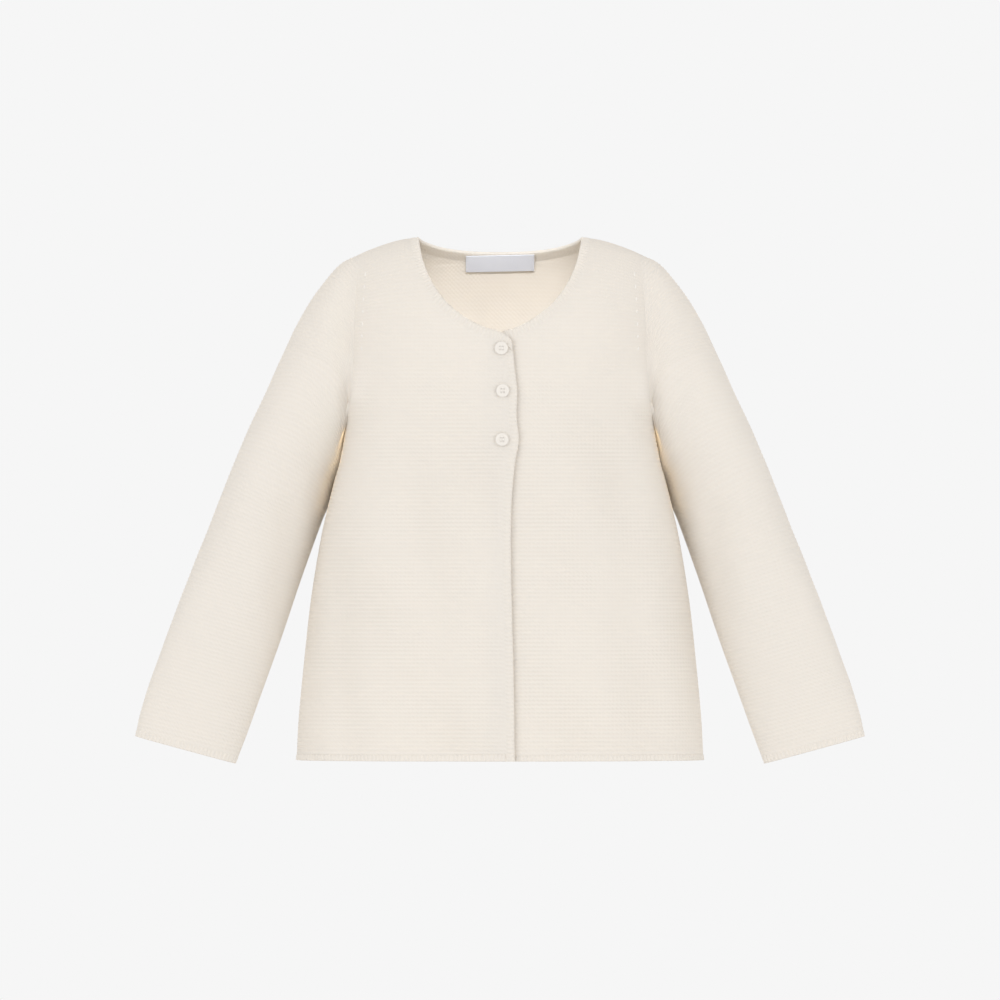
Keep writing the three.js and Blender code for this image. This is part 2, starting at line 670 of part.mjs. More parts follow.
const cardigan = new THREE.Group();
const add = (name, geometry, material) => {
  const mesh = new THREE.Mesh(geometry, material);
  mesh.name = name;
  cardigan.add(mesh);
  return mesh;
};

add("back", backPanel(), knit);
add("front_right", frontPanel(-1), knit);
add("front_left", frontPanel(1), knit);
add("sleeve_right", sleeve(-1), knit);
add("sleeve_left", sleeve(1), knit);
add("trim_front_right", frontTrim(-1), knit);
add("trim_front_left", frontTrim(1), knit);
add("trim_neck", neckTrim(), knit);
add("label", labelGeometry(), satin);
for (const { name, x, z } of buttons) {
  const [place] = bodyPairAt("front", -1, -x, z);
  const facing = bodyNormal("front", angleOf(x, z), z);
  const mesh = add(name, buttonGeometry(), pearl);
  mesh.position.copy(place).addScaledVector(facing, button.gap);
  mesh.quaternion.setFromUnitVectors(new THREE.Vector3(0, 0, 1), facing);
}

export default cardigan;
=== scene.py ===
# %% [markdown]
# # A small child's cardigan in garter stitch
#
# The real cardigan is knitted flat in ivory cotton: a back, two fronts and two sleeves, joined at
# the shoulders, armholes and sides, with a narrow edging round the neck and down the fronts. The
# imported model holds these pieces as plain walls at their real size. It is loaded first, and this
# lesson then gives them their knitted surface, their edges, their buttons and their light.

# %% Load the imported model
import math

import bmesh
import bpy
import numpy as np
from mathutils import Matrix, Vector


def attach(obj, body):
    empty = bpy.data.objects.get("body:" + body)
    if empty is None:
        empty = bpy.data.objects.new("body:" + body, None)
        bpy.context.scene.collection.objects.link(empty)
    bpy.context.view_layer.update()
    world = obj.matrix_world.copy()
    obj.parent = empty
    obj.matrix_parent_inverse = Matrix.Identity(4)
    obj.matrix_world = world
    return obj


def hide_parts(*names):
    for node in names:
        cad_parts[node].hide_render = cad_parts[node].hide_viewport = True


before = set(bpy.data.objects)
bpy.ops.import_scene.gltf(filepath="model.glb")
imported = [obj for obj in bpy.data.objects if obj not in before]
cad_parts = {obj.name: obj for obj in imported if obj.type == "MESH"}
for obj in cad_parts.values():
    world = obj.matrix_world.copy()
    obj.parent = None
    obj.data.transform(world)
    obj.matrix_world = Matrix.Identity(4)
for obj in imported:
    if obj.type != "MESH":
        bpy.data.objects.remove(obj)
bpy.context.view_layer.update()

MM = 0.001

# %% [markdown]
# ## The camera and the light
#
# The garment is seen square from the front. The hem is straight in the picture, so the lens stood
# far off: a long lens 12 m away keeps the near cloth from looking larger than the sides.
#
# Such pictures are lit by large soft sources on all sides. Here a pale surround does most of that
# work, and three broad lights from the left, the right and behind give the folds a slight shade.

# %% Camera
view_width = 750 * MM
view_centre = Vector((0, 0, -197 * MM))
camera_distance = 12.0
sensor_width = 36.0


def add_object(name, data):
    """A new object at the origin of the scene."""
    made = bpy.data.objects.new(name, data)
    bpy.context.collection.objects.link(made)
    return made


camera_data = bpy.data.cameras.new("camera")
camera_data.sensor_width = sensor_width
camera_data.lens = sensor_width * camera_distance / view_width
camera = add_object("camera", camera_data)
camera.location = view_centre + Vector((0, -camera_distance, 0))
camera.rotation_euler = (math.radians(90), 0, 0)
bpy.context.scene.camera = camera
print("lens:", round(camera_data.lens), "mm")


# %% Colours from sRGB hex
def srgb(hex_text):
    """Linear colour of an sRGB hex value such as F6F6F6."""
    channels = [int(hex_text[i:i + 2], 16) / 255 for i in (0, 2, 4)]
    linear = [c / 12.92 if c <= 0.04045 else ((c + 0.055) / 1.055) ** 2.4 for c in channels]
    return (*linear, 1.0)


# %% Node helper
def add_node(tree, kind, settings=None, inputs=None):
    """Adds a node with its settings. An input is a value, or the output that feeds it."""
    node = tree.nodes.new(kind)
    for name, value in (settings or {}).items():
        setattr(node, name, value)
    for name, value in (inputs or {}).items():
        if isinstance(value, bpy.types.NodeSocket):
            tree.links.new(value, node.inputs[name])
        else:
            node.inputs[name].default_value = value
    return node


# %% Surround
bpy.context.scene.view_settings.view_transform = "Standard"
surround = {"colour": "F6F6F6", "light": 0.89}
world = bpy.data.worlds.new("pale surround")
world.use_nodes = True
world_tree = world.node_tree
seen, lighting = (
    add_node(world_tree, "ShaderNodeBackground", inputs={
        "Color": srgb(surround["colour"]), "Strength": strength}).outputs[0]
    for strength in (1.0, surround["light"]))
is_seen = add_node(world_tree, "ShaderNodeLightPath").outputs["Is Camera Ray"]
both = add_node(world_tree, "ShaderNodeMixShader", inputs={0: is_seen, 1: lighting, 2: seen})
world_tree.links.new(both.outputs[0], world_tree.nodes["World Output"].inputs["Surface"])
bpy.context.scene.world = world

# %% Broad lights
soft_lights = (
    # name, place in metres, watts, side in metres
    ("key from the left", (-2.0, -2.4, 0.4), 23, 1.8),
    ("fill from the right", (2.2, -2.4, 0.1), 22, 2.0),
    ("light from behind", (0, 3.0, 0.3), 23, 2.4),
)


def put_light(name, kind, place, target, watts, **settings):
    """A light at a place that shines towards a target."""
    light_data = bpy.data.lights.new(name, kind)
    light_data.energy = watts
    for setting, value in settings.items():
        setattr(light_data, setting, value)
    light = add_object(name, light_data)
    light.location = place
    light.rotation_euler = (Vector(target) - light.location).to_track_quat("-Z", "Y").to_euler()
    return light


for name, place, watts, side in soft_lights:
    put_light(name, "AREA", place, view_centre, watts, size=side)

# %% [markdown]
# The hollows under the arms are a warm tan. Thin warm strips in them stand for the light that comes
# through the cloth there.

# %% Strips under the arms
warm_strips = (
    # top and foot in millimetres, watts
    ((116.8, -12.5, -140), (119.8, -10.5, -167), 0.00026),
    ((119.8, -10.5, -167), (130.5, -7, -208), 0.0005),
)
strip_width = 1.5 * MM
strip_colour = srgb("FFDC9C")[:3]

for hand in (-1, 1):
    for top, foot, watts in warm_strips:
        top, foot = (Vector((hand * x, y, z)) * MM for x, y, z in (top, foot))
        middle = (top + foot) / 2
        light = put_light("warm strip under an arm", "AREA", middle, middle + Vector((0, 1, 0)), watts,
                          shape="RECTANGLE", size=strip_width, size_y=(top - foot).length,
                          color=strip_colour)
        light.rotation_euler.rotate_axis("Z", math.atan2(foot.x - top.x, top.z - foot.z))
        light.visible_camera = False

# %% [markdown]
# ## The cut, in millimetres
#
# A knitter follows a chart of widths at each height. The knitted surface must lie on the walls of
# the frame, so the tables that shape those are repeated here: cross-sections of the body, the lines
# of shoulder, armhole, neck and opening, and the sections of the sleeve.

# %% Sizes and tables
wall = 2.5
hem_height = -392.0
armpit_height = -139.0
armpit_x = 116.0
tip_x, tip_z = 105.0, -12.6
side_neck_x = 61.0
trim_width = 6.5
edge_rim = {"height": 4.0, "proud": 0.4}
overlap_lift = 1.9
overlap_reach = 42.0
overlap_fade = (-70, -40)
corner_height = -80
outwards = {"front": -1, "back": 1}
ring_power = 2.3
shoulder_rise = {"front": 84.0, "back": 72.0}
shoulder_power = 2.2

body_rings = {
    "z": [-392, -362, -317, -272, -227, -200, -182, -167, -139, -100, -60, -20, 20],
    "half_width": [152.5, 151, 146.8, 141.8, 134.5, 128.5, 124, 120, 116, 117.5, 118.5, 119, 119],
    "front": [74, 73, 72, 70.5, 69, 68, 67, 66.5, 65.5, 64, 60, 55, 51],
    "back": [69, 68, 66, 64.5, 63.5, 63, 62, 61.5, 60.5, 60.5, 58, 53, 49],
}
shoulder_line = {"x": [0, 30, 61, 75, 90, 105, 120], "z": [6, 4.6, 0, -2, -6.5, -12.6, -20.5]}
armhole_line = {
    "z": [-139, -133, -120, -100, -63, -33, -12.6],
    "x": [116, 113.8, 111.6, 110, 108.8, 107.2, 105],
}
neck_line = {
    "front": {
        "x": [-9.3, -8, -4.5, 2, 16, 30, 42, 51.5, 57.5, 60.3, 61],
        "z": [-80, -77, -74, -71, -66, -57.5, -46.5, -32.5, -18, -5, 0],
    },
    "back": {
        "x": [0, 15, 30, 42, 51, 57.5, 61],
        "z": [-10.3, -10.1, -9, -7.2, -4.8, -2.2, 0],
    },
}
opening_edge = {
    "z": [-392, -340, -290, -240, -200, -170, -152, -135, -115, -97, -80],
    "past": [11, 10.4, 9.2, 8.2, 8.6, 11.2, 14, 12.4, 12.8, 10.8, 9.3],
}
body_folds = (
    # side, top x, top z, low x, bend, width, depth
    ("front", -95, -100, -42, 0.45, 17, 4.2),
    ("front", -128, -190, -112, 1, 12, 2.6),
    ("front", 74, -80, 112, 0.8, 17, 3.4),
    ("front", 42, -230, 62, 1, 14, 1.8),
    ("back", -84, -110, -96, 1, 18, 3.8),
    ("back", -18, -170, -30, 1, 20, 3.2),
    ("back", 52, -120, 44, 0.7, 18, 4.4),
    ("back", 112, -200, 122, 1, 13, 2.4),
)
fold_foot = -400.0
sleeve_sections = {
    "top_x": [105, 120, 134, 148.5, 160, 175.5, 190.5, 207, 224, 241.5, 257.5, 268.5, 273],
    "top_z": [-12.6, -20.5, -36.5, -58.5, -81, -115, -148.5, -188, -231, -276, -320.5, -353, -374],
    "low_x": [116, 117.4, 118.4, 119.8, 122.6, 125.8, 129.4, 134.4, 149, 163, 178, 189.4, 198],
    "low_z": [-139, -146, -155, -167, -179, -191, -203, -215, -256, -298, -340, -372, -394.5],
    "top_back": [0, 0, 1, 2, 3, 3, 3, 1, -3, -8, -13, -17, -19],
    "low_back": [0, 2, 6, 12, 17, 21, 21, 17, 8, -1, -9, -14, -17],
    "depth": [27, 31, 34, 36, 37.5, 38, 37.5, 36, 32.5, 27.5, 21.5, 16.5, 13],
}
sleeve_easing = 2.5  # sections over which the cap turns from the armhole's shape to the sleeve's
leaning = {"reach": 1.4, "fade": (4, 6)}  # the upper part of the underside leans to the body
cuff_at = 12.0
sleeve_folds = (
    # angle, section, spread, length, slant in sections per degree, depth
    (118, 7.4, 26, 0.8, 0.024, 2.6),
    (70, 8.6, 24, 0.7, -0.022, 1.8),
    (235, 7.2, 28, 0.9, -0.027, 3.0),
    (290, 9, 24, 0.8, 0.02, 2.0),
    (150, 4.4, 22, 0.8, 0, 2.0),
)


# %% Smooth curves and steps
def along(table, key, column, value):
    """A smooth curve through one column of a table, read by another column or the row's number."""
    ys = np.asarray(table[column], float)
    n = np.arange(len(ys))
    xs = np.asarray(table[key] if key else n, float)
    before, after = np.maximum(n - 1, 0), np.minimum(n + 1, n[-1])
    slope = (ys[after] - ys[before]) / (xs[after] - xs[before])
    value = np.asarray(value, float)
    i = np.clip(np.searchsorted(xs, value) - 1, 0, len(xs) - 2)
    span = xs[i + 1] - xs[i]
    t = np.clip((value - xs[i]) / span, 0, 1)
    start = (2 * t**3 - 3 * t**2 + 1) * ys[i] + (t**3 - 2 * t**2 + t) * span * slope[i]
    return start + (3 * t**2 - 2 * t**3) * ys[i + 1] + (t**3 - t**2) * span * slope[i + 1]


def ease(value, low, high):
    """Goes smoothly from 0 at the low value to 1 at the high one."""
    t = np.clip((np.asarray(value, float) - low) / (high - low), 0, 1)
    return t * t * (3 - 2 * t)


def unit(vectors):
    """The same directions with length 1."""
    return vectors / np.maximum(np.linalg.norm(vectors, axis=-1, keepdims=True), 1e-9)


def row_runs(points):
    """The length of cloth from the start of each row to each of its points."""
    steps = np.linalg.norm(np.diff(points, axis=1), axis=2)
    return np.concatenate([np.zeros((len(points), 1)), np.cumsum(steps, axis=1)], axis=1)


def line_run(points):
    """The same for a single line of points."""
    return row_runs(points[None])[0]


def ridge_height(x):
    """Height of the shoulder line over a place."""
    return along(shoulder_line, "x", "z", np.abs(x))


def armhole_x(z):
    """Half width of the body at the armhole's seam."""
    return along(armhole_line, "z", "x", z)


print("shoulder drop over the armhole seam:", round(float(-ridge_height(tip_x)), 1), "mm")


# %% [markdown]
# ## The surface of the body
#
# Seen from above, a filled-out body is a squarish ellipse. Towards the shoulder its depth closes
# like a dome, and soft vertical troughs run down to the hem where the flare folds. These functions
# give the point and the outward direction at any place, for whole arrays at once.

# %% Body surface
fold_full_at = 0.35  # the share of its length over which a fold deepens
fold_hold = 1.5  # above 1, a fold keeps its depth closer to the side seam
rim_blend = 0.5
slope_step = 0.5


def fold_depth(side, x, z):
    """How deep the soft troughs are at a place."""
    total = np.zeros(np.broadcast(x, z).shape)
    for fold_side, top_x, top_z, low_x, bend, width, depth in body_folds:
        if fold_side != side:
            continue
        down = np.clip((top_z - z) / (top_z - fold_foot), 0, 1)
        centre = top_x + (low_x - top_x) * down**bend
        total = total + depth * ease(down, 0, fold_full_at) * np.exp(-(((x - centre) / width) ** 2))
    return total


def body_point(side, angle, z):
    """Angle 0 is the middle of the panel, and a right angle is the side seam."""
    half_width = along(body_rings, "z", "half_width", z)
    depth = along(body_rings, "z", side, z)
    x = np.sign(angle) * half_width * np.abs(np.sin(angle)) ** (2 / ring_power)
    bulge = np.maximum(np.cos(angle), 0) ** (2 / ring_power)
    below = np.maximum(ridge_height(x) - z, 0)
    rise = np.minimum(below / shoulder_rise[side], 1)
    closing = np.sqrt(1 - (1 - rise) ** shoulder_power)
    rim_top = hem_height + edge_rim["height"]
    proud = edge_rim["proud"] * (1 - ease(z, rim_top, rim_top + rim_blend))
    out = bulge * (depth * closing + proud) - fold_depth(side, x, z) * np.minimum(1, fold_hold * bulge)
    return np.stack([x + np.sign(x) * proud * (1 - bulge), outwards[side] * out, z + 0 * x], axis=-1)


def angle_of(x, z):
    """The angle at which the body passes a place."""
    across = np.clip(np.abs(x) / along(body_rings, "z", "half_width", z), 0, 1)
    return np.sign(x) * np.arcsin(across ** (ring_power / 2))


def body_normal(side, angle, z):
    """The outward direction on the body."""
    step = 0.01
    limit = math.pi / 2 - 2 * step
    angle = np.clip(angle, -limit, limit)
    here = body_point(side, angle, z)
    across = body_point(side, angle + step, z) - here
    down = body_point(side, angle, z - slope_step) - here
    return -outwards[side] * unit(np.cross(down, across))


def lap_shift(hand, x, z):
    """The upper front rises and the lower one sinks where they lie on each other."""
    near = 1 - ease(x * hand, 0, overlap_reach)
    low = 1 - ease(z, *overlap_fade)
    return -hand * overlap_lift * near * low


def cloth_point(side, hand, angle, z):
    """Point and outward direction on the body's cloth. Hand is 1 on the wearer's left side."""
    point = body_point(side, angle * hand, z)
    normal = body_normal(side, angle * hand, z)
    if side == "front":
        point = point + normal * lap_shift(hand, point[..., 0], z)[..., None]
    return point, normal


def cloth_at(side, hand, x, z):
    """The same, for a distance from the middle of the panel."""
    return cloth_point(side, hand, angle_of(x, z), z)


# %% [markdown]
# ## Rows of knitting
#
# Garter stitch makes one raised ridge for every two rows. On the body the ridges lie level, and
# near the shoulder they turn to lie along its slope. So a row is labelled by its height, corrected
# near the shoulder line by the height of that line. Ridges are 3.1 mm apart along the cloth, and
# each gets four lines of points: valley, flank, crest, flank. They are real shape and no bump map,
# because they show at the edges of the garment.

# %% Row labels
ridge_pitch = 3.1
ridge_rise = 0.3
inner_share = 0.15
band_height = 4.6
station_step = 0.62
lines_per_ridge = 4
shoulder_turn = 70.0
correction_rounds = 14


def shoulder_share(below):
    """How much a row follows the shoulder line, from its distance below it."""
    return 1 - ease(below, 0, shoulder_turn)


def row_label(x, z):
    """The row that passes a place."""
    ridge = ridge_height(x)
    return z - shoulder_share(ridge - z) * ridge


def row_height(label, x):
    """The height of a row at a place, found by repeated correction."""
    ridge = ridge_height(x)
    below = ridge - label
    for _ in range(correction_rounds):
        below = (1 - shoulder_share(below)) * ridge - label
    return ridge - below


def row_labels(side):
    """Labels of the lines of points from the hem to the shoulder seam, and the ridges they lie on."""
    middle_x = 82.0
    low = np.linspace(hem_height + band_height, -5, 1200)
    fine = np.concatenate([low, -np.geomspace(5, 1e-4, 300), [0.0]])
    heights = row_height(fine, middle_x)
    run = line_run(body_point(side, angle_of(middle_x, heights), heights))
    ridges = round(run[-1] / ridge_pitch)
    lines = np.linspace(0, ridges, ridges * lines_per_ridge + 1)
    return np.interp(lines / ridges * run[-1], run, fine), lines


for side in outwards:
    print(side, "ridges from hem to shoulder:", int(row_labels(side)[1][-1]))


# %% [markdown]
# ## Places along a row
#
# A front's row runs from its edging, or from the neck, out to the side seam or the armhole. Every
# row gets the same number of points, evenly spaced along the cloth, with one more just inside each
# end, where the cloth rounds over into the seam.

# %% Limits of the rows
neck_samples = 400
# The neck band points straight down at the middle of the neck and along the shoulder line at its
# end. These are the rows of the neck's table over which it turns.
turns_from_middle = {"front": 3.2, "back": 1.0}
turns_to_shoulder = 1.2


def neck_station(side, place, distance):
    """The point a distance away on the cloth from a place on the neck edge."""
    last = len(neck_line[side]["x"]) - 1

    def read(where):
        return np.stack([along(neck_line[side], None, column, where) for column in "xz"], axis=-1)

    tangent = unit(read(np.minimum(place + 0.02, last)) - read(np.maximum(place - 0.02, 0)))
    away = np.stack([tangent[..., 1], -tangent[..., 0]], axis=-1)
    share = (1 - ease(place, 0, turns_from_middle[side]))[..., None]
    away = unit(away * (1 - share) + np.array([0, -1]) * share)
    ridge_way = unit(np.array([1, ridge_height(side_neck_x + distance) / max(distance, 1)]))
    share = ease(place, last - turns_to_shoulder, last)[..., None]
    return read(place) + unit(away * (1 - share) + ridge_way * share) * distance


def neck_seam(side):
    """Where the neck band meets the cloth."""
    return neck_station(side, np.linspace(0, len(neck_line[side]["x"]) - 1, neck_samples), trim_width)


def neck_limit(side, labels):
    """Where the rows meet the neck band, and the row at its lowest point."""
    points = neck_seam(side)
    found = row_label(points[:, 0], points[:, 1])
    return np.interp(labels, np.maximum.accumulate(found), points[:, 0]), found[0]


def inner_limit(side, labels):
    """Where the rows start: at the middle of the back, at the opening's edging or at the neck band."""
    neck, start = neck_limit(side, labels)
    if side == "back":
        return np.where(labels < start, 0.0, neck)
    opening = trim_width - along(opening_edge, "z", "past", np.minimum(labels, corner_height))
    return np.where(labels < start, opening, np.maximum(opening, neck))


def outer_limit(labels):
    """Where the rows end on the armhole."""
    heights = np.linspace(armpit_height, tip_z, 600)
    found = row_label(armhole_x(heights), heights)
    return armhole_x(np.interp(labels, np.maximum.accumulate(found), heights))


def spread(run_length, columns, end_step):
    """Distances along a row: close together at both ends and even between them."""
    inside = np.linspace(end_step, run_length - end_step, columns - 1)
    return np.concatenate([[0], inside, [run_length]])


# %% [markdown]
# ## From rows to a knitted shell
#
# The shell is one closed surface: the outer face, the same face set inwards by the cloth's
# thickness, and a narrow rim round every free edge. Ridges lift the outer points and the inner
# points sit half a ridge later, as they do in garter stitch, which looks alike on both sides.
# Towards each edge the ridges fade, so that two pieces meet evenly at their seam.

# %% Shell builder
seam_fade = 2.6
crease_angle = math.radians(65)
same_place = 0.004
swell_fade = 25  # slow swells start this gently beside an edge


def quads(grid):
    """Faces of four between the points of a grid."""
    corners = [grid[:-1, :-1], grid[:-1, 1:], grid[1:, 1:], grid[1:, :-1]]
    return np.stack(corners, axis=-1).reshape(-1, 4)


def wall_grid(outer, inner, u, v, first_side=(0, None), last_side=(0, None), ends=True):
    """Points, faces and texture places of a wall. Each side is free between two of its rows."""
    rows, columns = u.shape
    front = np.arange(rows * columns).reshape(rows, columns)
    back = front + rows * columns
    faces = [quads(front), quads(back)[:, ::-1]]
    if ends:
        faces.append(quads(np.stack([back[0], front[0]])))
        faces.append(quads(np.stack([front[-1], back[-1]])))
    for column, (start, stop), turn in ((0, first_side, 1), (-1, last_side, -1)):
        free = slice(start, stop)
        faces.append(quads(np.stack([front[free, column], back[free, column]]))[:, ::turn])
    points = np.concatenate([outer.reshape(-1, 3), inner.reshape(-1, 3)])
    uvs = np.stack([u, v + 0 * u], axis=-1).reshape(-1, 2)
    return points, np.concatenate(faces), np.concatenate([uvs, uvs])


def solid_piece(name, parts):
    """One smooth closed mesh in metres from several (points, faces, texture places) in mm."""
    points, faces, uvs = zip(*parts)
    starts = np.cumsum([0] + [len(part) for part in points])
    faces = np.concatenate([part + start for part, start in zip(faces, starts)])
    points, uvs = np.concatenate(points), np.concatenate(uvs)
    mesh = bpy.data.meshes.new(name)
    mesh.from_pydata((points * MM).tolist(), [], faces.tolist())
    layer = mesh.uv_layers.new(name="UVMap")
    layer.data.foreach_set("uv", (uvs[faces.reshape(-1)] * MM).reshape(-1))
    work = bmesh.new()
    work.from_mesh(mesh)
    bmesh.ops.remove_doubles(work, verts=work.verts, dist=same_place * MM)
    bmesh.ops.dissolve_degenerate(work, dist=same_place / 4 * MM, edges=work.edges)
    bmesh.ops.recalc_face_normals(work, faces=work.faces)
    for face in work.faces:
        face.smooth = True
    for edge in work.edges:
        edge.smooth = edge.calc_face_angle(0) < crease_angle
    work.to_mesh(mesh)
    work.free()
    return add_object(name, mesh)


def knit_wall(points, normals, u, lines, edge_distance, relief, **sides):
    """A stretch of garter stitch: ridges on the outer face, and between them on the inner one."""
    v = (lines * ridge_pitch)[:, None] + 0 * u
    fade = ease(edge_distance, 0, seam_fade) * relief * firmness(u, v)
    ridge = ridge_rise * np.cos(2 * math.pi * lines)[:, None] * fade
    swell = unevenness(u, v) * ease(edge_distance, 0, swell_fade)
    outer = points + normals * (swell - ridge)[..., None]
    inner = points + normals * (swell - inner_share * ridge - wall)[..., None]
    return wall_grid(outer, inner, u, v, **sides)


def unevenness(u, v):
    """Hand knitting is never quite even: slow swells of a few tenths of a millimetre."""
    swell = np.sin(u / 17.3 + 1.1) * np.sin(v / 23.1 + 0.4) + 0.7 * np.sin(u / 9.1 - v / 14.7)
    return 0.22 * swell + 0.12 * np.sin(u / 4.9 + v / 31.0) * np.sin(v / 6.3)


def firmness(u, v):
    """The ridges stand out more in some places than in others."""
    return 1 + 0.35 * np.sin(u / 29 + 0.7) * np.sin(v / 37 + 1.9) + 0.2 * np.sin(u / 11 + v / 19)


def cut_of(points):
    """Greatest width, greatest length and area of a piece when laid flat, in metres."""
    a = points[1:, :-1] - points[:-1, :-1]
    b = points[:-1, 1:] - points[:-1, :-1]
    area = float(np.linalg.norm(np.cross(a, b), axis=-1).sum())
    width = float(row_runs(points)[:, -1].max())
    length = float(row_runs(points.transpose(1, 0, 2))[:, -1].max())
    return width * MM, length * MM, area * MM * MM


def resample(goal, run, values):
    """Values at other distances along each row."""
    return np.stack([np.interp(g, r, v) for g, r, v in zip(goal, run, values)])


# %% [markdown]
# ## Back and fronts
#
# The back is knitted in one piece. Its two halves are laid out from the middle, where they meet
# below the neck. Each front stops where its edging begins. All of them start above a narrow firm
# band at the hem.

# %% Body panels
row_samples = 72
front_columns = 44
half_back_columns = 40
front_anchor = 45.0  # where the stitches of a front are counted from
seam_step = 1.3
yoke_stretch = 0.62  # the ridges pull flatter over the chest and shoulders
sleeve_relief = 0.55
bridging = {"depth": 8.5, "reach": 14.0, "rise": 20.0, "fade": (-120, -80)}
yoke = (-190, -70)
shoulder_side = 35
cut_sizes = {}


def panel_grid(side, hand, columns):
    """Points, directions, texture places and distances of one side of the body."""
    labels, lines = row_labels(side)
    inner_x = inner_limit(side, labels)
    outer_x = outer_limit(labels)
    share = np.linspace(0, 1, row_samples)[None, :]
    xs = inner_x[:, None] + (outer_x - inner_x)[:, None] * share
    heights = row_height(labels[:, None], xs)
    angles = angle_of(xs, heights)
    skirt = labels < armpit_height
    first = angle_of(inner_x, labels)
    angles[skirt] = (first[:, None] + (math.pi / 2 - first)[:, None] * share)[skirt]
    heights[skirt] = labels[skirt][:, None]
    places = body_point(side, angles * hand, heights)
    run = row_runs(places)
    goal = np.stack([spread(length, columns, seam_step) for length in run[:, -1]])
    points, normals = cloth_point(side, hand, resample(goal, run, angles), resample(goal, run, heights))
    anchor_x = front_anchor if side == "front" else 0.0
    anchor = resample(np.full((len(run), 1), anchor_x), places[..., 0] * hand, run)
    past = np.maximum(inner_x - anchor_x, 0)[:, None]
    bridge(points, run[:, -1:] - goal, outwards[side])
    return points, normals, goal - anchor + past, lines, goal


def bridge(points, from_seam, sign):
    """Near the armpit the joined cloth spans the hollow of the seam, so both pieces lie further out."""
    z = points[..., 2]
    low = ease(z, armpit_height, armpit_height + bridging["rise"])
    high = 1 - ease(z, *bridging["fade"])
    near = np.exp(-((from_seam / bridging["reach"]) ** 2))
    points[..., 1] += sign * bridging["depth"] * low * high * near


def neck_distance(points, below):
    """How far rows below the back's neck are from it."""
    return np.hypot(below, np.maximum(np.abs(points[..., 0]) - shoulder_side, 0))


# %% Ribbed band
band_rise = 0.3
band_across = np.array([0, 0.02, 0.1, 0.22, 0.36, 0.55, 0.75, 0.92, 1])
rib_share = np.array([0, 0.5, 1, 0.5, 0.8, 1, 1, 0.8, 0])
chain_lift = np.array([-0.9, -0.1, 0.3, 0.0, 0.06, 0.08, 0.06, 0.03, 0])
band_wall = np.array([1.5, 2.2, 2.5, 2.5, 2.5, 2.5, 2.5, 2.5, 2.5])


def even_stations(points, *others):
    """Resamples a line of points, and what goes with them, at an even spacing."""
    run = line_run(points)
    goal = np.linspace(0, run[-1], round(run[-1] / station_step) + 1)
    return [np.stack([np.interp(goal, run, column) for column in values.T], axis=1)
            for values in (points, *others)]


def smooth_line(values, reach):
    """Averages each value with its neighbours, keeping both ends."""
    padded = np.pad(values, ((reach, reach), (0, 0)), mode="edge")
    weights = np.hanning(2 * reach + 1)
    weights /= weights.sum()
    return np.stack([np.convolve(column, weights, "valid") for column in padded.T], axis=1)


def ribbed_band(edge, seam, normals, smoothing=None, ends=True):
    """A narrow band with small ribs across it, from its free edge to the seam with the panel."""
    seam, edge, normals = even_stations(seam, edge, normals)
    if smoothing:
        normals = smooth_line(unit(normals), smoothing)
    run = line_run(seam)
    points = edge[:, None] + (seam - edge)[:, None] * band_across[None, :, None]
    directions = np.repeat(unit(normals)[:, None], len(band_across), axis=1)
    rib = band_rise * np.cos(2 * math.pi * run / ridge_pitch)[:, None] * rib_share
    outer = points + directions * (chain_lift - rib)[..., None]
    inner = points - directions * band_wall[:, None]
    u = band_across * np.linalg.norm(seam - edge, axis=1)[:, None]
    v = run[:, None] + 0 * u
    return wall_grid(outer, inner, u, v, ends=ends)


def hem_band(side, hands):
    """The firm band along the lower edge of a panel, from its first side to its last."""
    first = inner_limit(side, np.array([hem_height]))[0]
    half = np.linspace(float(angle_of(first, hem_height)), math.pi / 2, 400)
    angles = np.concatenate([-half[::-1], half[1:]]) if len(hands) > 1 else half
    heights = np.full_like(angles, hem_height)
    edge, normals = cloth_point(side, hands[-1], angles, heights)
    seam, _ = cloth_point(side, hands[-1], angles, heights + band_height)
    return ribbed_band(edge, seam, normals)


def panel_part(side, hand, columns):
    """The knitted wall of one side of the body, and its cut."""
    points, normals, u, lines, run = panel_grid(side, hand, columns)
    from_hem = lines[:, None] * ridge_pitch
    from_inner, free_from = run, 0
    if side == "back":
        on_neck = inner_limit(side, row_labels(side)[0]) > 0
        free_from = int(np.argmax(on_neck))
        below = neck_distance(points, from_hem[free_from] - from_hem)
        from_inner = np.where(on_neck[:, None], run, below)
    edge = np.minimum(from_inner, run[:, -1:] - run)
    edge = np.minimum(edge, np.minimum(from_hem, from_hem[-1] - from_hem))
    relief = 1 - yoke_stretch * ease(points[..., 2], *yoke)
    panel = knit_wall(points, normals, u * hand, lines, edge, relief, first_side=(free_from, None))
    return panel, cut_of(points)


cloth = {}  # each piece by the name of the wall it stands for
for name, side, hands, columns in (
    ("front_right", "front", (-1,), front_columns),
    ("front_left", "front", (1,), front_columns),
    ("back", "back", (-1, 1), half_back_columns),
):
    parts, cuts = [hem_band(side, hands)], []
    for hand in hands:
        made, cut = panel_part(side, hand, columns)
        parts.append(made)
        cuts.append(cut)
    widths, lengths, areas = zip(*cuts)
    hem_area = sum(widths) * band_height * MM
    cut_sizes[name] = (sum(widths), max(lengths) + band_height * MM, sum(areas) + hem_area)
    cloth[name] = solid_piece("knit_" + name, parts)
    print(name, len(cloth[name].data.polygons), "faces")

# %% [markdown]
# ## Sleeves
#
# A set-in sleeve is knitted from the cuff up. Its last rows get shorter and form the cap, which is
# sewn into the armhole, so the rows of the cap start and end on that seam. Below the armpit each
# row goes all the way round, and the seam under the arm joins its two ends. The same grid serves
# for both: a row's ends lie on the armhole at first, and meet each other further down.

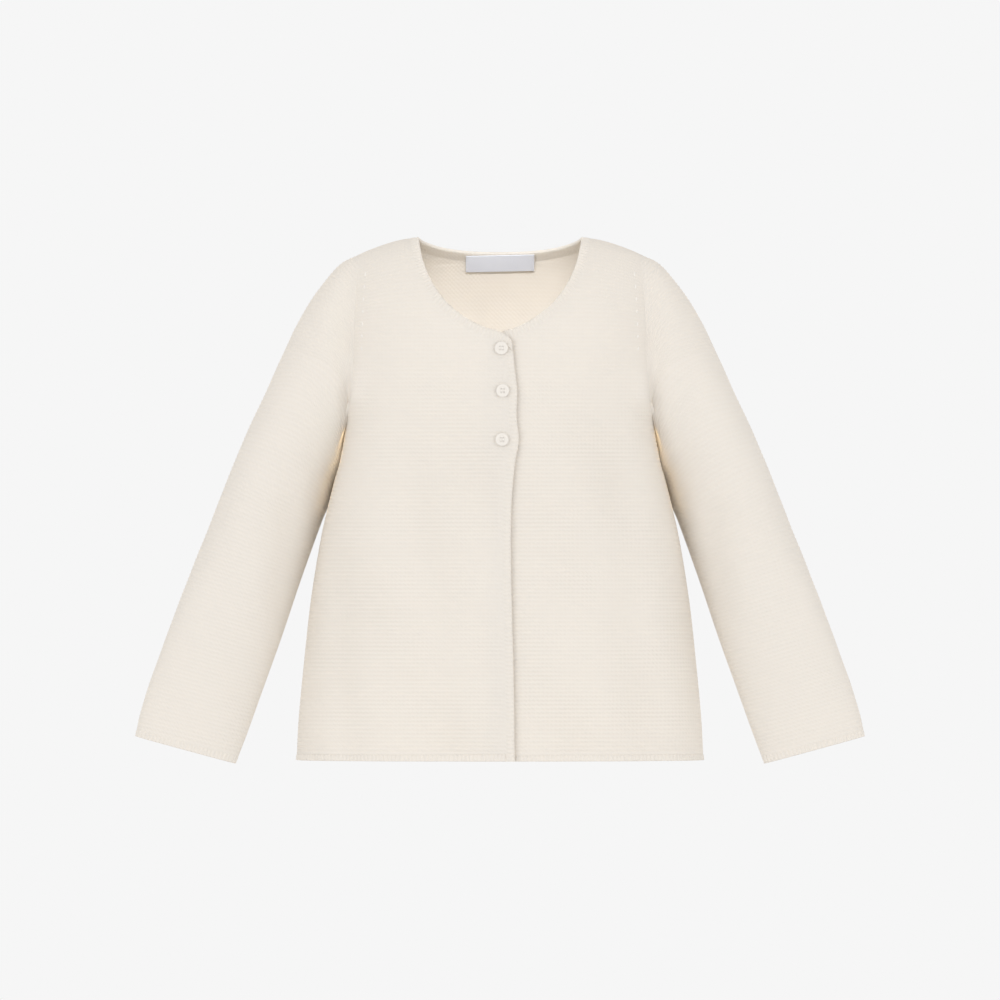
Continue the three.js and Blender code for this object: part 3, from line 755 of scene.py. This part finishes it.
# %% Sleeve surface
def sleeve_point(angle, at):
    """Wearer's left arm. Angle 0 is on top, and a right angle is in front."""
    c, s = np.cos(angle), np.sin(angle)
    top_x, top_z, low_x, low_z, top_back, low_back, own_depth = (
        along(sleeve_sections, None, column, at) for column in sleeve_sections)
    own = ease(at, 0, sleeve_easing)
    seam_z = armpit_height + (tip_z - armpit_height) * (1 + c) / 2
    seam_x = armhole_x(seam_z)
    straight_x = armpit_x + (tip_x - armpit_x) * (1 + c) / 2
    seam_angle = angle_of(seam_x, seam_z)
    before = np.abs(body_point("front", seam_angle, seam_z)[..., 1])
    behind = np.abs(body_point("back", seam_angle, seam_z)[..., 1])
    seam_depth = np.where(s >= 0, before, behind)
    depth = seam_depth + (own_depth * np.abs(s) - seam_depth) * own
    dent = 0
    for fold_angle, fold_at, fold_spread, length, slant, fold_deep in sleeve_folds:
        turned = np.degrees(angle) % 360 - fold_angle
        offset = at - fold_at - slant * turned
        dent = dent + fold_deep * np.exp(-((turned / fold_spread) ** 2) - (offset / length) ** 2)
    half = np.hypot(top_x - low_x, top_z - low_z) / 2
    share = 0.5 + 0.5 * c * (half - dent * np.abs(c)) / half
    x = low_x + (top_x - low_x) * share + (1 - own) * (seam_x - straight_x)
    x = x - leaning["reach"] * ease(at, 0, 1) * (1 - ease(at, *leaning["fade"])) * (1 - c) / 2
    middle = low_back + (top_back - low_back) * (1 + c) / 2
    y = middle - np.sign(s) * (depth - np.abs(s) * dent)
    return np.stack([x, y, low_z + (top_z - low_z) * share], axis=-1)


def sleeve_normal(angle, at):
    """The outward direction on the sleeve."""
    step = 0.02
    at = np.clip(at, 0, cuff_at - step)
    around = sleeve_point(angle + step, at) - sleeve_point(angle - step, at)
    out = sleeve_point(angle, at + step) - sleeve_point(angle, at)
    return unit(np.cross(around, out))


# %% Rows of the sleeve
cap_top = 4.2
turn_top = 8.0
cuff_band = 0.24
sleeve_columns = 56
far_off = 1000  # no seam near


def sleeve_line(angle, start, end):
    """Sections between two others at one angle, and the length of cloth to each."""
    fine = np.linspace(start, end, 800)
    return fine, line_run(sleeve_point(np.full(800, angle), fine))


def sleeve_rows():
    """For each line of points: its end angle, and its section on top and under the arm."""
    end = cuff_at - cuff_band
    stretches = ((0, cap_top, 0, 0), (cap_top, turn_top, 0, turn_top), (turn_top, end, turn_top, end))
    found, counts = [], []
    for top_from, top_to, low_from, low_to in stretches:
        both = sleeve_line(0.0, top_from, top_to), sleeve_line(math.pi, low_from, low_to)
        top_run, low_run = (run[-1] for _, run in both)
        count = round((top_run + (low_run or top_run)) / 2 / ridge_pitch) * lines_per_ridge
        share = np.linspace(0, 1, count + 1)
        top, low = (np.interp(share * run[-1], run, fine) for fine, run in both)
        ends = np.full(count + 1, math.pi) if low_run else np.arccos(1 - 2 * share)
        found.append(np.stack([ends, top, low])[:, 1 if counts else 0:])
        counts.append(count)
    print("sleeve ridges in the cap, below it and to the cuff:", [n // lines_per_ridge for n in counts])
    return (*np.concatenate(found, axis=1), counts[0])


def sleeve_wall(hand):
    """The knitted wall of a sleeve, and its cut."""
    ends, tops, lows, cap_rows = sleeve_rows()
    angle = ends[:, None] * np.linspace(-1, 1, 120)[None, :]
    closed = np.maximum(1 - np.cos(ends), 1e-9)[:, None]
    up = np.clip((np.cos(angle) - np.cos(ends)[:, None]) / closed, 0, 1)
    at = lows[:, None] + (tops - lows)[:, None] * up
    run = row_runs(sleeve_point(angle, at))
    goal = [spread(length, sleeve_columns, min(seam_step, length / 60)) for length in run[:, -1]]
    goal = np.stack(goal)
    angles, ats = resample(goal, run, angle), resample(goal, run, at)
    points, normals = sleeve_point(angles, ats), sleeve_normal(angles, ats)
    from_ends = np.minimum(goal, run[:, -1:] - goal)
    in_cap = np.arange(len(ends))[:, None] <= cap_rows
    bridge(points, np.where(in_cap, from_ends, far_off), -np.sign(angles))
    points, normals = points * [hand, 1, 1], normals * [hand, 1, 1]
    lines = np.arange(len(ends)) / lines_per_ridge
    edge = np.minimum(from_ends, (lines[-1] - lines)[:, None] * ridge_pitch)
    u = goal - run[:, -1:] / 2
    free = (0, cap_rows + 1)
    wall_part = knit_wall(points, normals, u, lines, edge, sleeve_relief, first_side=free, last_side=free)
    return wall_part, cut_of(points)


def cuff_ring(hand):
    """The firm band round the end of a sleeve."""
    angles = np.linspace(-math.pi, math.pi, 400)
    seam_at = np.full(400, cuff_at - cuff_band)
    lines = [sleeve_point(angles, np.full(400, cuff_at)), sleeve_point(angles, seam_at),
             sleeve_normal(angles, seam_at)]
    return ribbed_band(*(values * [hand, 1, 1] for values in lines), ends=False)


for hand, name in ((-1, "sleeve_right"), (1, "sleeve_left")):
    wall_part, cut_sizes[name] = sleeve_wall(hand)
    cloth[name] = solid_piece("knit_" + name, [wall_part, cuff_ring(hand)])
    print(name, len(cloth[name].data.polygons), "faces")

# %% [markdown]
# ## Edgings
#
# Narrow bands finish the neck and both fronts. Small ribs run across them, and the outermost chain
# of stitches stands a little higher. The neck band goes from one corner over both shoulders to the
# other, and its ribs turn with the curve.

# %% Front edgings
tuck = 0.8  # the front edging ends this far under the neck band


def front_edging(hand):
    """The band down the edge of one front."""
    heights = np.linspace(hem_height, corner_height, 600)
    x = -along(opening_edge, "z", "past", heights)
    top = neck_seam("front")
    top = top[np.argsort(top[:, 0])]
    found = []
    for inset in (0.0, trim_width):
        limit = tuck + np.interp(x + inset, top[:, 0], top[:, 1])
        found.append(cloth_at("front", hand, x + inset, np.minimum(heights, limit)))
    keep = heights <= limit + 0.01
    (edge, normals), (seam, _) = found
    return ribbed_band(edge[keep], seam[keep], normals[keep])


def neck_half(hand):
    """Edge, seam and directions of the band from the front corner over the shoulder to the back."""
    found = []
    for side, line in neck_line.items():
        places = (len(line["x"]) - 1) * (1 - (1 - np.linspace(0, 1, 500)) ** 2)
        flats = [neck_station(side, places, distance) for distance in (0.0, trim_width)]
        (edge, normals), (seam, _) = (cloth_at(side, hand, flat[:, 0], flat[:, 1]) for flat in flats)
        found.append([edge, seam, normals])
    return [np.concatenate([front, back[::-1][1:]]) for front, back in zip(*found)]


for hand, name in ((-1, "front_right"), (1, "front_left")):
    cloth["trim_" + name] = solid_piece("edging_" + name, [front_edging(hand)])

right, left = neck_half(-1), neck_half(1)
edge, seam, normals = (np.concatenate([r, l[::-1][1:]]) for r, l in zip(right, left))
cloth["trim_neck"] = solid_piece("edging_neck", [ribbed_band(edge, seam, normals, smoothing=9)])
print("neck band", round(line_run(seam)[-1]), "mm along its seam")

# %% [markdown]
# ## Label
#
# A short plain tape is sewn inside the back of the neck. It bulges a little between its sewn ends.

# %% Label
label_size = {"width": 52, "height": 12.4, "thickness": 0.6, "gap": 0.2, "lift": 1.1, "tilt": 0.022,
              "bulge": 0.35, "sewn": 2.5}


def label_height(down, x):
    """Height of a place on the label, from its distance to the upper edge."""
    return neck_line["back"]["z"][0] - label_size["gap"] - down + label_size["tilt"] * x


def label_part():
    """The tape as a thin wall."""
    across = np.linspace(-0.5, 0.5, 61)[None, :] * label_size["width"]
    down = np.linspace(0, 1, 15)[:, None] * label_size["height"]
    x = across + 0 * down
    points, normals = cloth_at("back", 1, x, label_height(down, x))
    loose = np.minimum(1, (label_size["width"] / 2 - np.abs(x)) / label_size["sewn"])
    bulge = label_size["bulge"] * np.sin(math.pi * down / label_size["height"]) * loose
    inside = wall + label_size["lift"]
    outer = points - normals * (inside + bulge)[..., None]
    inner = outer - normals * label_size["thickness"]
    return wall_grid(outer, inner, x, down + 0 * x)


cloth["label"] = solid_piece("label_tape", [label_part()])
label_cut = (label_size["width"] * MM, label_size["height"] * MM)
cut_sizes["label"] = (*label_cut, label_cut[0] * label_cut[1])

# %% [markdown]
# ## Buttons
#
# Three small round buttons close the top of the opening. One is modelled as by hand: a cylinder, an
# inset for the dish, a bevel for the rim and four drilled holes. Copies of it go to their places.

# %% Button
button = {"radius": 5.0, "thickness": 2.0, "rim": 0.9, "dish_radius": 3.2, "dish_depth": 0.25, "gap": 0.2}
button_hole = {"radius": 0.62, "offset": 1.0}
button_places = {
    "button_top": (1.0, -84.0), "button_middle": (2.0, -115.5), "button_lower": (1.5, -152.0)}


def select_in_edit_mode(kind, test):
    """Selects the faces or edges of the mesh in edit mode that pass a test."""
    bpy.ops.mesh.select_all(action="DESELECT")
    mesh = bpy.context.edit_object.data
    for element in getattr(bmesh.from_edit_mesh(mesh), kind):
        if test(element):
            element.select_set(True)
    bmesh.update_edit_mesh(mesh)


def on_outer_wall(edge):
    """True for an edge that runs round the disc, between its wall and a flat side."""
    level = abs(edge.verts[0].co.z - edge.verts[1].co.z) < 0.01 * MM
    return level and all(v.co.xy.length > (button["radius"] - 0.01) * MM for v in edge.verts)


def only(form):
    """Makes a form the only selected object, with its place and size in its mesh."""
    bpy.ops.object.select_all(action="DESELECT")
    form.select_set(True)
    bpy.context.view_layer.objects.active = form
    bpy.ops.object.transform_apply(location=True, rotation=True, scale=True)


def cylinder(sides, radius, height, place):
    """An upright cylinder with its centre at a place, all in millimetres."""
    bpy.ops.mesh.primitive_cylinder_add(
        vertices=sides, radius=radius * MM, depth=height * MM, location=Vector(place) * MM)
    return bpy.context.object


button_form = cylinder(48, button["radius"], button["thickness"], (0, 0, button["thickness"] / 2))
bpy.ops.object.mode_set(mode="EDIT")
select_in_edit_mode("faces", lambda face: face.normal.z > 0.9)
bpy.ops.mesh.inset(thickness=(button["radius"] - button["dish_radius"]) * MM)
bpy.ops.mesh.inset(thickness=button["dish_depth"] * MM, depth=-button["dish_depth"] * MM)
select_in_edit_mode("edges", on_outer_wall)
bpy.ops.mesh.bevel(offset=button["rim"] * MM, segments=4)
bpy.ops.object.mode_set(mode="OBJECT")

# %% Holes
for across, up in ((1, 1), (-1, 1), (-1, -1), (1, -1)):
    place = Vector((across, up, 0)) * button_hole["offset"]
    drill = cylinder(16, button_hole["radius"], 3 * button["thickness"], place)
    hole = button_form.modifiers.new("hole", "BOOLEAN")
    hole.object = drill
    bpy.context.view_layer.objects.active = button_form
    bpy.ops.object.modifier_apply(modifier=hole.name)
    bpy.data.objects.remove(drill)
only(button_form)
bpy.ops.object.shade_smooth_by_angle(angle=math.radians(35))
print("button:", len(button_form.data.polygons), "faces,",
      [round(side / MM, 2) for side in button_form.dimensions], "mm")


# %% Strands of thread and yarn
def strand_form(width, length, height, segments=12):
    """One strand of a stitch: a rounded grain."""
    bpy.ops.mesh.primitive_uv_sphere_add(segments=segments, ring_count=8, radius=0.5 * MM)
    form = bpy.context.object
    form.scale = (width, length, height)
    only(form)
    bpy.ops.object.shade_smooth()
    return form


# %% Buttons in place
def standing(side, hand, x, z, gap, lean=0.0):
    """The turn and move that stand a form on the cloth. A gap of minus the wall is its inside."""
    place, facing = cloth_at(side, hand, hand * x, np.float64(z))
    facing = Vector(facing)
    place = Vector(place) + facing * gap
    if gap < 0:
        facing = -facing
    turn = Vector((0, 0, 1)).rotation_difference(facing).to_matrix().to_4x4()
    return Matrix.Translation(place * MM) @ turn @ Matrix.Rotation(lean, 4, "Z")


def copies(name, form, turns):
    """One piece with its own mesh, made of copies of a form."""
    work = bmesh.new()
    for turn in turns:
        mesh = form.data.copy()
        mesh.transform(turn)
        work.from_mesh(mesh)
        bpy.data.meshes.remove(mesh)
    mesh = form.data.copy()
    work.to_mesh(mesh)
    work.free()
    return add_object(name, mesh)


stitch_height = button["thickness"] - button["dish_depth"] + 0.1
thread_form = strand_form(0.9, 3.0, 0.8, segments=16)
buttons, threads = {}, {}
for node, (x, z) in button_places.items():
    turn = standing("front", -1, x, z, button["gap"])
    buttons[node] = copies(node + "_pearl", button_form, [turn])
    beside = [Vector((across * button_hole["offset"], 0, stitch_height)) * MM for across in (-1, 1)]
    threads[node] = copies(node + "_thread", thread_form, [turn @ Matrix.Translation(v) for v in beside])
for form in (button_form, thread_form):
    bpy.data.objects.remove(form)

# %% [markdown]
# ## Fashioning marks and stitches
#
# Where the knitter joins two stitches into one to shape the armhole, a small slanted stitch shows
# beside the seam. These marks follow the armhole in a row. The same strand, made smaller, also
# gives the stitches at both ends of the label.

# %% Fashioning marks
fashioning = {"length": 3.2, "width": 1.3, "height": 0.7, "from_seam": 6.0, "top": -28.0, "every": 9.3,
              "count": 10, "lean": 24}
mark_form = strand_form(fashioning["width"], fashioning["length"], fashioning["height"])
marks = []
for side in outwards:
    for hand, hand_name in ((-1, "right"), (1, "left")):
        lean = -outwards[side] * hand * math.radians(fashioning["lean"])
        turns = []
        for i in range(fashioning["count"]):
            z = fashioning["top"] - i * fashioning["every"]
            x = hand * (float(armhole_x(z)) - fashioning["from_seam"])
            turns.append(standing(side, hand, x, z, 0, lean))
        marks.append(copies("marks_" + side + "_" + hand_name, mark_form, turns))
bpy.data.objects.remove(mark_form)
print("fashioning marks:", 4 * fashioning["count"])

# %% Stitches of the label
label_stitch = {"width": 0.45, "length": 1.5, "height": 0.35, "from_end": 1.2, "rows": 6}
stitch_form = strand_form(label_stitch["width"], label_stitch["length"], label_stitch["height"])
depth = wall + label_size["lift"] + label_size["thickness"]
turns = []
for end in (-1, 1):
    x = end * (label_size["width"] / 2 - label_stitch["from_end"])
    for i in range(label_stitch["rows"]):
        down = (i + 0.5) / label_stitch["rows"] * label_size["height"]
        turns.append(standing("back", 1, x, label_height(down, x), -depth))
label_stitches = copies("label_stitches", stitch_form, turns)
bpy.data.objects.remove(stitch_form)

# %% [markdown]
# ## Materials
#
# The yarn is matt ivory cotton. A little light passes through it and leaves it warmer, so its folds
# look tan and not grey. The bumps of single stitches follow the texture places, which run in metres
# along and across the rows, so a stitch keeps its real size on every piece. Each ridge is made of
# two half rows of loops that lock into each other, half a stitch apart.

# %% Material helpers
def new_material(name, settings):
    """A material, and its shader with fixed inputs."""
    material = bpy.data.materials.new(name)
    material.use_nodes = True
    shader = material.node_tree.nodes["Principled BSDF"]
    for setting, value in settings.items():
        shader.inputs[setting].default_value = value
    return material, material.node_tree, shader


def calculate(tree, operation, *values):
    """The result of one Math node."""
    node = add_node(tree, "ShaderNodeMath", {"operation": operation}, dict(enumerate(values)))
    return node.outputs[0]


def wave(tree, turns, operation="SINE"):
    """A wave that comes back at each whole number of turns."""
    return calculate(tree, operation, calculate(tree, "MULTIPLY", turns, 2 * math.pi))


def noise(tree, scale, detail):
    """Soft noise in the object's own space, with about so many spots in a metre."""
    where = add_node(tree, "ShaderNodeTexCoord").outputs["Object"]
    inputs = {"Vector": where, "Scale": scale, "Detail": detail}
    return add_node(tree, "ShaderNodeTexNoise", inputs=inputs).outputs["Fac"]


def along_cloth(tree, *sizes):
    """How many times each size in metres fits between a place and the start of its row and column."""
    places = add_node(tree, "ShaderNodeUVMap", {"uv_map": "UVMap"}).outputs["UV"]
    axes = add_node(tree, "ShaderNodeSeparateXYZ", inputs={0: places})
    return [calculate(tree, "DIVIDE", axis, size) for axis, size in zip(axes.outputs, sizes)]


def add_bump(tree, shader, height, strength, distance):
    """Small relief, as deep as the distance in mm where the height changes by 1."""
    bump = add_node(tree, "ShaderNodeBump", inputs={
        "Height": height, "Strength": strength, "Distance": distance * MM})
    tree.links.new(bump.outputs["Normal"], shader.inputs["Normal"])
    return bump.outputs["Normal"]


def two_colours(tree, shader, share, first, second):
    """A base colour that goes from one to another with the share."""
    colour = add_node(tree, "ShaderNodeMix", {"data_type": "RGBA"},
                      {"Factor": share, 6: srgb(first), 7: srgb(second)})
    tree.links.new(colour.outputs[2], shader.inputs["Base Color"])


# %% Ivory cotton, knitted
stitch_width = 3.3 * MM
# The valley colour is painted shade: it darkens the hollows between the ridges a little.
yarn = {"cotton": "F4EFE8", "valley": "E9DFD0", "valley_shade_share": 0.06, "through": "FBF0DC",
        "translucency": 0.2}


def stitch_relief(tree, stitches, rows):
    """Height of the loops, which stand out more in some patches, of the yarn's twist and its fibres."""
    loops = calculate(tree, "MULTIPLY", wave(tree, stitches), wave(tree, rows))
    clearness = calculate(tree, "MULTIPLY_ADD", noise(tree, 38.0, 1.0), 1.4, 0.1)
    loops = calculate(tree, "MULTIPLY", loops, clearness)
    twist = wave(tree, calculate(tree, "MULTIPLY_ADD", stitches, 3.0, rows))
    height = calculate(tree, "MULTIPLY_ADD", twist, 0.15, loops)
    return calculate(tree, "MULTIPLY_ADD", noise(tree, 2200.0, 3.0), 0.5, height)


def knitted_cotton(name):
    """Matt ivory cotton yarn in garter stitch."""
    material, tree, shader = new_material(name, {
        "Roughness": 0.92, "Sheen Weight": 0.25, "Sheen Roughness": 0.6, "Sheen Tint": srgb("FFF8EE")})
    stitches, rows = along_cloth(tree, stitch_width, ridge_pitch * MM)
    drift = calculate(tree, "MULTIPLY_ADD", noise(tree, 70.0, 1.0), 0.9, -0.45)
    stitches = calculate(tree, "ADD", stitches, drift)
    normal = add_bump(tree, shader, stitch_relief(tree, stitches, rows), 1.0, 0.065)
    # Painted shade: the colour turns towards the darker valley colour in the hollows between ridges.
    share = yarn["valley_shade_share"]
    valley = calculate(tree, "MULTIPLY_ADD", wave(tree, rows, "COSINE"), share, share)
    two_colours(tree, shader, valley, yarn["cotton"], yarn["valley"])
    through = add_node(tree, "ShaderNodeBsdfTranslucent",
                       inputs={"Color": srgb(yarn["through"]), "Normal": normal})
    mix = add_node(tree, "ShaderNodeMixShader", inputs={
        0: yarn["translucency"], 1: shader.outputs["BSDF"], 2: through.outputs["BSDF"]})
    tree.links.new(mix.outputs["Shader"], tree.nodes["Material Output"].inputs["Surface"])
    return material


# %% Other materials
def cotton_strand(name):
    """Ivory cotton, a single strand twisted from plies a millimetre apart."""
    material, tree, shader = new_material(name, {
        "Base Color": srgb(yarn["cotton"]), "Roughness": 0.9, "Sheen Weight": 0.25})
    where = add_node(tree, "ShaderNodeTexCoord").outputs["Object"]
    plies = add_node(tree, "ShaderNodeTexWave", {"bands_direction": "DIAGONAL"},
                     {"Vector": where, "Scale": 2 * math.pi / (10 * MM), "Distortion": 0.5})
    add_bump(tree, shader, plies.outputs["Fac"], 1.0, 0.06)
    return material


def satin_tape(name):
    """White polyester satin, a finely woven tape with a soft shine."""
    material, tree, shader = new_material(name, {
        "Base Color": srgb("DADDE6"), "Roughness": 0.45, "Sheen Weight": 0.2})
    warp, weft = along_cloth(tree, 0.45 * MM, 0.6 * MM)
    weave = calculate(tree, "MULTIPLY", wave(tree, warp), wave(tree, weft))
    add_bump(tree, shader, weave, 0.4, 0.05)
    return material


def pearly_plastic(name):
    """Milky white polyester with faint clouds of mother-of-pearl, polished."""
    material, tree, shader = new_material(name, {"Roughness": 0.38, "Specular IOR Level": 0.25})
    two_colours(tree, shader, noise(tree, 320.0, 2.0), "ECE6DE", "E5E0D9")
    return material


cotton = knitted_cotton("ivory cotton yarn, matt, garter stitch")
strand = cotton_strand("ivory cotton strand, twisted")
satin = satin_tape("white satin tape, soft shine")
pearl = pearly_plastic("pearly white polyester, polished")
dressed = (
    (satin, [cloth["label"], label_stitches]),
    (pearl, buttons.values()),
    (strand, [*threads.values(), *marks]),
    (cotton, [piece for name, piece in cloth.items() if name != "label"]),
)
for material, pieces in dressed:
    for piece in pieces:
        piece.data.materials.clear()
        piece.data.materials.append(material)

# %% [markdown]
# ## Places in the frame
#
# Everything rides on the one body. Each knitted piece stands for its wall in the frame, which is
# hidden, and the size it would have if it were laid flat is printed.


def settle(piece, slot, *nodes):
    """A piece rides on the body and stands for its nodes, which are hidden. The slot is not used."""
    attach(piece, "root")
    if nodes:
        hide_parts(*nodes)


for node, piece in cloth.items():
    settle(piece, "satin" if node == "label" else "knit", node)
for node in button_places:
    settle(buttons[node], "pearl", node)
    settle(threads[node], "knit")
settle(label_stitches, "satin")
for piece in marks:
    settle(piece, "knit")

for node, (width, length, area) in cut_sizes.items():
    print(node, "cut", round(width / MM), "x", round(length / MM), "mm,", round(area, 4), "m2")

# %% [markdown]
# The inside of the neck is nearly as bright as the front in the picture. Narrow spots shine over the
# front's edge on the inside of the back, and by light linking on nothing else.

# %% Spots into the neck
spot_place = (0, -1.0, 0.55)
spot_target = (0, 0.05, -0.035)
spot_form = {"spot_size": math.radians(7), "spot_blend": 0.7, "shadow_soft_size": 0.012}
for name, watts, lit in (
    ("spot on the inside of the back", 45, ("back", "label")),
    ("spot on the back of the neck band", 16, ("trim_neck",)),
):
    spot = put_light(name, "SPOT", spot_place, spot_target, watts, **spot_form)
    receivers = bpy.data.collections.new("lit by the spot")
    for node in lit:
        receivers.objects.link(cloth[node])
    spot.light_linking.receiver_collection = receivers

# %% [markdown]
# A pale floor far below the garment catches no sharp shadow of it.

# %% Floor
floor_radius = 0.5
floor_height = -0.65
bpy.ops.mesh.primitive_circle_add(vertices=64, radius=floor_radius, fill_type="NGON",
                                  location=(0, 0, floor_height))
floor = bpy.context.object
floor.name = "floor"
floor_look = new_material("pale matt floor", {"Base Color": srgb("F0F0F0"), "Roughness": 0.9})
floor.data.materials.append(floor_look[0])
